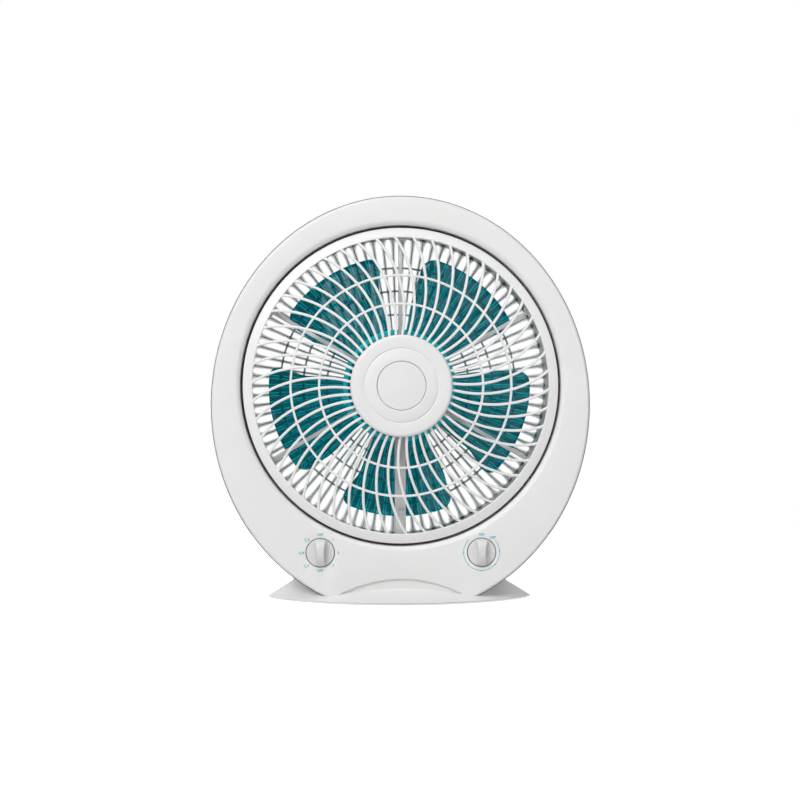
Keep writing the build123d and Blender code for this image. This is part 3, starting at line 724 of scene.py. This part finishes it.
def dome_front(radius):
    """Forward distance of the grille's front surface, which falls away towards the rim."""
    u = (radius - HUB_R) / CURL
    return (70.8 - 4.0 * u - 10.0 * u ** 2) * MM


def station(radius):
    """The frame that carries the rib's section to a radius, facing along the rib."""
    ahead = 0.5 * MM
    turn = atan2(radius * (swirl_angle(radius + ahead) - swirl_angle(radius - ahead)), 2 * ahead)
    dip = atan2(dome_front(radius + ahead) - dome_front(radius - ahead), 2 * ahead)
    return (Matrix.Rotation(swirl_angle(radius), 4, "Z")
            @ Matrix.Translation((radius, 0, dome_front(radius) - RIB_DEEP / 2))
            @ Matrix.Rotation(turn, 4, "Z") @ Matrix.Rotation(-dip, 4, "Y"))


# %% [markdown]
# Everything of the swirl grille is one mesh, because it is one moulding: the fifty ribs, two rings
# let into them, the rim, whose front slopes outward, and the stepped plate behind the hub cap.

# %% Ribs, rings, rim and hub plate
bm = bmesh.new()
section = bmesh.ops.create_grid(bm, x_segments=1, y_segments=1, size=0.5)["verts"]
bmesh.ops.scale(bm, vec=(RIB_WIDE, RIB_DEEP, 1), verts=section)
bmesh.ops.bevel(bm, geom=section, offset=1.0 * MM, offset_type="OFFSET", segments=3, profile=0.5,
                affect="VERTICES", material=-1, clamp_overlap=True)
upright = Matrix.Rotation(radians(90), 4, "Y") @ Matrix.Rotation(radians(90), 4, "Z")
first_stop = HUB_R - 1 * MM
stops = [first_stop + (RIB_END - first_stop) * i / RIB_STEPS for i in range(RIB_STEPS + 1)]
bmesh.ops.transform(bm, matrix=station(stops[0]) @ upright, verts=bm.verts)
cap = list(bm.faces)[-1]
for here, there in zip(stops, stops[1:]):
    grown = bmesh.ops.extrude_face_region(bm, geom=[cap], use_keep_orig=(here == stops[0]))
    moved = [g for g in grown["geom"] if isinstance(g, bmesh.types.BMVert)]
    cap = [g for g in grown["geom"] if isinstance(g, bmesh.types.BMFace)][-1]
    bmesh.ops.transform(bm, matrix=station(there) @ station(here).inverted(), verts=moved)
around(bm, list(bm.verts), SWIRL_RIBS)
bmesh.ops.rotate(bm, cent=(0, 0, 0), matrix=Matrix.Rotation(radians(SWIRL_START), 3, "Z"), verts=bm.verts)
for radius in SWIRL_RINGS:
    front = dome_front(radius * MM)
    flat_ring(bm, (radius + 1.25) * MM, (radius - 1.25) * MM, front - 5.5 * MM, front - 0.3 * MM, 0.8 * MM)
rim_line = [(160.8, 49), (RIM_OUT / MM, 49), (RIM_OUT / MM, 53.4), (161.6, 57), (160.8, 56.4)]
spun(bm, [(r * MM, h * MM) for r, h in rim_line], 0.5 * MM, SIDES)
plate_line = [(3, 58), (8, 58), (8, 66.8), (53, 66.8), (53, 64.5), (54.5, 64.5), (54.5, 71), (3, 71)]
spun(bm, [(r * MM, h * MM) for r, h in plate_line], 0.3 * MM, 128, 1)
finish_piece("swirl_grille", bm, "grille", grille_white, ["rotating_grille"])

# %% [markdown]
# The cap is a turned disc with two steps, and the badge is a plain disc let into its middle. The
# narrow gap between them is what draws the inner circle.

# %% Hub cap and badge
bm = bmesh.new()
cap_line = [(26.6, 75.2), (26.6, 78.2), (27.4, 78.7), (39.0, 77.2), (39.6, 76.2), (40.6, 76.2), (41.0, 77.0),
            (52.4, 76.4), (54.2, 75.4), (HUB_R / MM, 73.4), (HUB_R / MM, 71.0), (52.5, 71.0),
            (52.5, 73.5), (0, 73.5), (0, 75.2)]
spun(bm, [(r * MM, h * MM) for r, h in cap_line], 0.25 * MM, SIDES, 2)
finish_piece("hub_cover", bm, "grille", cap_white, ["hub_cap"])
bm = bmesh.new()
badge_line = [(0, 75.2), (26.1, 75.2), (26.1, 78.7), (0, 78.7)]
spun(bm, [(r * MM, h * MM) for r, h in badge_line], 0.5 * MM, SIDES)
finish_piece("plain_badge", bm, "grille", badge_white, ["hub_badge"])

# %% [markdown]
# ## The dials
# A dial is a low turned disc with a finger grip across it. The grip is a block cut into slices
# along its length, so that scaling a slice gives it its waist and lifting it gives its crest.

# %% Dial


def dial(name, node, body, x):
    bm = bmesh.new()
    disc_r = DIAL_R - 0.3 * MM
    spun(bm, [(0, 55.4 * MM), (disc_r, 55.4 * MM), (disc_r, 60.8 * MM), (0, 60.8 * MM)], 0.7 * MM, 96)
    grip = bmesh.ops.create_cube(bm, size=1.0)["verts"]
    edges = [e for e in {e for v in grip for e in v.link_edges}
             if abs((e.verts[0].co - e.verts[1].co).y) > 0.5]
    bmesh.ops.subdivide_edges(bm, edges=edges, cuts=14, use_grid_fill=True)
    bar = [v for v in bm.verts if max(abs(v.co.x), abs(v.co.y), abs(v.co.z)) > 0.3]
    top_edges = [e for e in bm.edges if all(v in bar and v.co.z > 0.4 for v in e.verts)
                 and abs(e.verts[0].co.x - e.verts[1].co.x) < 0.1]
    for v in bar:
        along = v.co.y * 2
        flare = (2.2 if along > 0 else 0.8) * along ** 2
        half = ((3.9 if v.co.z > 0 else 5.0) + flare) * MM
        crest = (71.4 - (5.4 if along > 0 else 8.0) * abs(along) ** 2.2) * MM
        end_r = disc_r - 0.6 * MM
        v.co = Vector((v.co.x * 2 * half, along * sqrt(end_r ** 2 - half ** 2),
                       crest if v.co.z > 0 else 59 * MM))
    rounded(bm, [e for e in top_edges if e.is_valid], 0.8 * MM, 3)
    bmesh.ops.translate(bm, vec=(x, DIAL_Z, 0), verts=bm.verts)
    finish_piece(name, bm, body, dial_grey, [node], sharp=40)


dial("speed_dial_knob", "speed_knob", "speed_dial", -DIAL_X)
dial("timer_dial_knob", "timer_knob", "timer_dial", DIAL_X)

# %% [markdown]
# ## The dial markings
# The marks are a thin layer of ink. Words and figures are text objects turned to mesh, the timer's
# arc is a short edge spun part of the way round, and all of it stands a few hundredths of a
# millimetre proud of the face so that it never fights with it.

# %% Markings
INK = 0.06 * MM
MARK_R = 19.4 * MM
ARC_R = 19.6 * MM
LETTER = 3.7 * MM


def lettering(bm, words, x, y, size):
    """Add flat words, centred on a point of the face."""
    curve = bpy.data.curves.new("words", "FONT")
    curve.body = words
    curve.size = size
    curve.align_x = "CENTER"
    curve.align_y = "CENTER"
    curve.offset = 0.13 * MM
    holder = bpy.data.objects.new("words", curve)
    bpy.context.scene.collection.objects.link(holder)
    bpy.context.view_layer.update()
    flat = bpy.data.meshes.new_from_object(holder.evaluated_get(bpy.context.evaluated_depsgraph_get()))
    bpy.data.objects.remove(holder)
    flat.transform(Matrix.Translation((x, y, FACE + INK)))
    bm.from_mesh(flat)


def clock(x, y, radius, angle):
    """A point at an angle clockwise from the top of a dial."""
    return x + radius * sin(radians(angle)), y + radius * cos(radians(angle))


def stroke(bm, x, y, radius, start, end, wide=0.62 * MM):
    """A printed arc, clockwise from start to end, in degrees from the top."""
    inner = bm.verts.new((*clock(x, y, radius - wide / 2, start), FACE + INK))
    outer = bm.verts.new((*clock(x, y, radius + wide / 2, start), FACE + INK))
    edge = bm.edges.new((inner, outer))
    steps = max(4, int(abs(end - start) / 4))
    bmesh.ops.spin(bm, geom=[inner, outer, edge], cent=(x, y, 0), axis=(0, 0, 1),
                   angle=-radians(end - start), steps=steps)


def swing_sign(bm, x, y):
    """A small turning-grille sign: an open ring with a curl inside it."""
    stroke(bm, x, y, 1.8 * MM, 40, 330, 0.45 * MM)
    stroke(bm, x - 0.3 * MM, y, 0.7 * MM, 200, 420, 0.45 * MM)


bm = bmesh.new()
left, right = -DIAL_X, DIAL_X
for words, angle in (("OFF", 0), ("1", 45), ("2", 90), ("3", 135), ("OFF", 180)):
    lettering(bm, words, *clock(left, DIAL_Z, MARK_R, angle), LETTER)
for words, angle in (("1", 225), ("2", 270), ("3", 315)):
    x, y = clock(left, DIAL_Z, MARK_R + 0.6 * MM, angle)
    swing_sign(bm, x - 1.0 * MM, y)
    lettering(bm, words, x + 1.7 * MM, y, LETTER * 0.85)
lettering(bm, "ON", *clock(right, DIAL_Z, MARK_R, 0), LETTER)
lettering(bm, "OFF", *clock(right, DIAL_Z, MARK_R + 0.6 * MM, 37), LETTER)
stroke(bm, right, DIAL_Z, ARC_R, 50, 315)
for angle in (85, 132, 180, 227, 270):
    x, y = clock(right, DIAL_Z, ARC_R, angle)
    dot = bmesh.ops.create_circle(bm, cap_ends=True, segments=16, radius=0.8 * MM)["verts"]
    bmesh.ops.translate(bm, vec=(x, y, FACE + INK * 1.3), verts=dot)
lift = bmesh.ops.extrude_face_region(bm, geom=list(bm.faces), use_keep_orig=True)
raised = [g for g in lift["geom"] if isinstance(g, bmesh.types.BMVert)]
bmesh.ops.translate(bm, vec=(0, 0, -INK * 1.5), verts=raised)
finish_piece("dial_markings", bm, "housing", print_teal)

# %% [markdown]
# ## Pieces that keep their engineering mesh
# Screws, shafts, the motor's parts and the switches already have the right shape. They keep their
# mesh and get a finish of their own.

# %% Finishes for carried-over nodes
finish_of = {
    "steel": zinc, "motor_metal": cast_metal, "laminations": core_steel, "copper": copper_wire,
    "bronze": bronze, "switch_plastic": switch_black, "lead_jacket": lead_grey, "rubber": rubber_grey,
    "foot_plastic": foot_white, "bracket_plastic": bracket_white, "nut_plastic": nut_teal,
    "housing_plastic": housing_white, "rear_grille_plastic": rear_white, "grille_plastic": grille_white,
    "cap_plastic": cap_white, "badge_plastic": badge_white, "dial_plastic": dial_grey,
    "blade_plastic": blade_teal,
}
for part in frame["record"]["subparts"]:
    node = frame["nodes"][part["node"]]
    node.data.materials.clear()
    node.data.materials.append(finish_of[part["material_slot"]])
print(len(frame["nodes"]), "nodes have a finish")

# %% [markdown]
# ## Floor, light and camera
# The floor is pale and plain. Its extra glow is seen only by the camera, so it lights nothing else.

# %% Floor
floor_white = material("floor_white", (0.75, 0.75, 0.75), 0.8, cloud=0.004, grain=0.01, grain_scale=300,
                       Specular_IOR_Level=0.1)
tree = floor_white.node_tree
shine = tree.nodes.new("ShaderNodeEmission")
shine.inputs["Strength"].default_value = 0.70
both = tree.nodes.new("ShaderNodeAddShader")
tree.links.new(tree.nodes["Principled BSDF"].outputs["BSDF"], both.inputs[0])
tree.links.new(shine.outputs["Emission"], both.inputs[1])
path = tree.nodes.new("ShaderNodeLightPath")
either = tree.nodes.new("ShaderNodeMixShader")
tree.links.new(path.outputs["Is Camera Ray"], either.inputs["Fac"])
tree.links.new(tree.nodes["Principled BSDF"].outputs["BSDF"], either.inputs[1])
tree.links.new(both.outputs["Shader"], either.inputs[2])
tree.links.new(either.outputs["Shader"], tree.nodes["Material Output"].inputs["Surface"])
bm = bmesh.new()
bmesh.ops.create_grid(bm, x_segments=1, y_segments=1, size=3.0)
bmesh.ops.translate(bm, vec=(0, -2.0, -0.0002), verts=bm.verts)
mesh = bpy.data.meshes.new("floor")
bm.to_mesh(mesh)
bm.free()
floor = bpy.data.objects.new("floor", mesh)
bpy.context.scene.collection.objects.link(floor)
floor.data.materials.append(floor_white)

# %% [markdown]
# The world isn't the same for every ray. To the camera it is plain white, as in a product picture.
# As a light it is a bright wall behind the fan and dim at the sides. Rays that have passed through
# the clear blades meet it dim, so the blades stay a deep teal. A Light Path node picks between them.

# %% Surroundings
GLOW = 0.10
WALL_BEHIND = 1.5
THROUGH_CLEAR = 0.15
world = bpy.data.worlds.new("studio")
bpy.context.scene.world = world
world.use_nodes = True
tree = world.node_tree
tree.nodes.clear()
path = tree.nodes.new("ShaderNodeLightPath")
direction = tree.nodes.new("ShaderNodeSeparateXYZ")
tree.links.new(tree.nodes.new("ShaderNodeTexCoord").outputs["Generated"], direction.inputs[0])
behind = tree.nodes.new("ShaderNodeMapRange")
behind.inputs["From Min"].default_value = 0.35
behind.inputs["From Max"].default_value = 0.75
behind.inputs["To Min"].default_value = GLOW
behind.inputs["To Max"].default_value = WALL_BEHIND
tree.links.new(direction.outputs["Y"], behind.inputs["Value"])
sky = [tree.nodes.new("ShaderNodeBackground") for _ in range(3)]
for background, strength in zip(sky, (GLOW, THROUGH_CLEAR, 1.0)):
    background.inputs["Color"].default_value = (1, 1, 1, 1)
    background.inputs["Strength"].default_value = strength
tree.links.new(behind.outputs["Result"], sky[0].inputs["Strength"])
shown = sky[0].outputs[0]
for background, ray in ((sky[1], "Is Transmission Ray"), (sky[2], "Is Camera Ray")):
    either = tree.nodes.new("ShaderNodeMixShader")
    tree.links.new(path.outputs[ray], either.inputs["Fac"])
    tree.links.new(shown, either.inputs[1])
    tree.links.new(background.outputs[0], either.inputs[2])
    shown = either.outputs[0]
out = tree.nodes.new("ShaderNodeOutputWorld")
tree.links.new(shown, out.inputs["Surface"])

# %% [markdown]
# Area lamps give soft edges to the shadows. A broad key stands high on the left, a weak fill on the
# right, and a third lamp above and in front brightens the rim and the foot, which face upwards.

# %% Lights


def soft_light(name, place, target, size, power):
    data = bpy.data.lights.new(name, "AREA")
    data.size = size
    data.energy = power
    lamp = bpy.data.objects.new(name, data)
    lamp.location = place
    lamp.rotation_euler = (Vector(target) - Vector(place)).to_track_quat("-Z", "Y").to_euler()
    bpy.context.scene.collection.objects.link(lamp)


soft_light("key", (-2.85, -4.8, 3.6), (0, 0, AXIS_Z), 2.4, 238)
soft_light("fill", (2.0, -3.2, 1.0), (0, 0, AXIS_Z), 1.6, 16)
soft_light("top", (0.0, -1.6, 3.2), (0, 0, AXIS_Z), 2.0, 34)

# %% [markdown]
# The camera stands at the height of the axis, two degrees to the left, and looks a little below the
# middle. A long lens keeps the round openings nearly free of perspective.

# %% Camera
DISTANCE = 2.26
AZIMUTH = -2.0
LENS = 94.0
AIM_DROP = 15.4 * MM
AIM_SIDE = -1.15 * MM
swing = radians(AZIMUTH)
eye = Vector((AIM_SIDE + DISTANCE * sin(swing), -FACE - DISTANCE * cos(swing), AXIS_Z))
aim = Vector((AIM_SIDE, -FACE, AXIS_Z - AIM_DROP))
camera_data = bpy.data.cameras.new("camera")
camera_data.lens = LENS
camera = bpy.data.objects.new("camera", camera_data)
camera.location = eye
camera.rotation_euler = (aim - eye).to_track_quat("-Z", "Y").to_euler()
bpy.context.scene.collection.objects.link(camera)
bpy.context.scene.camera = camera
bpy.context.scene.view_settings.view_transform = "Standard"
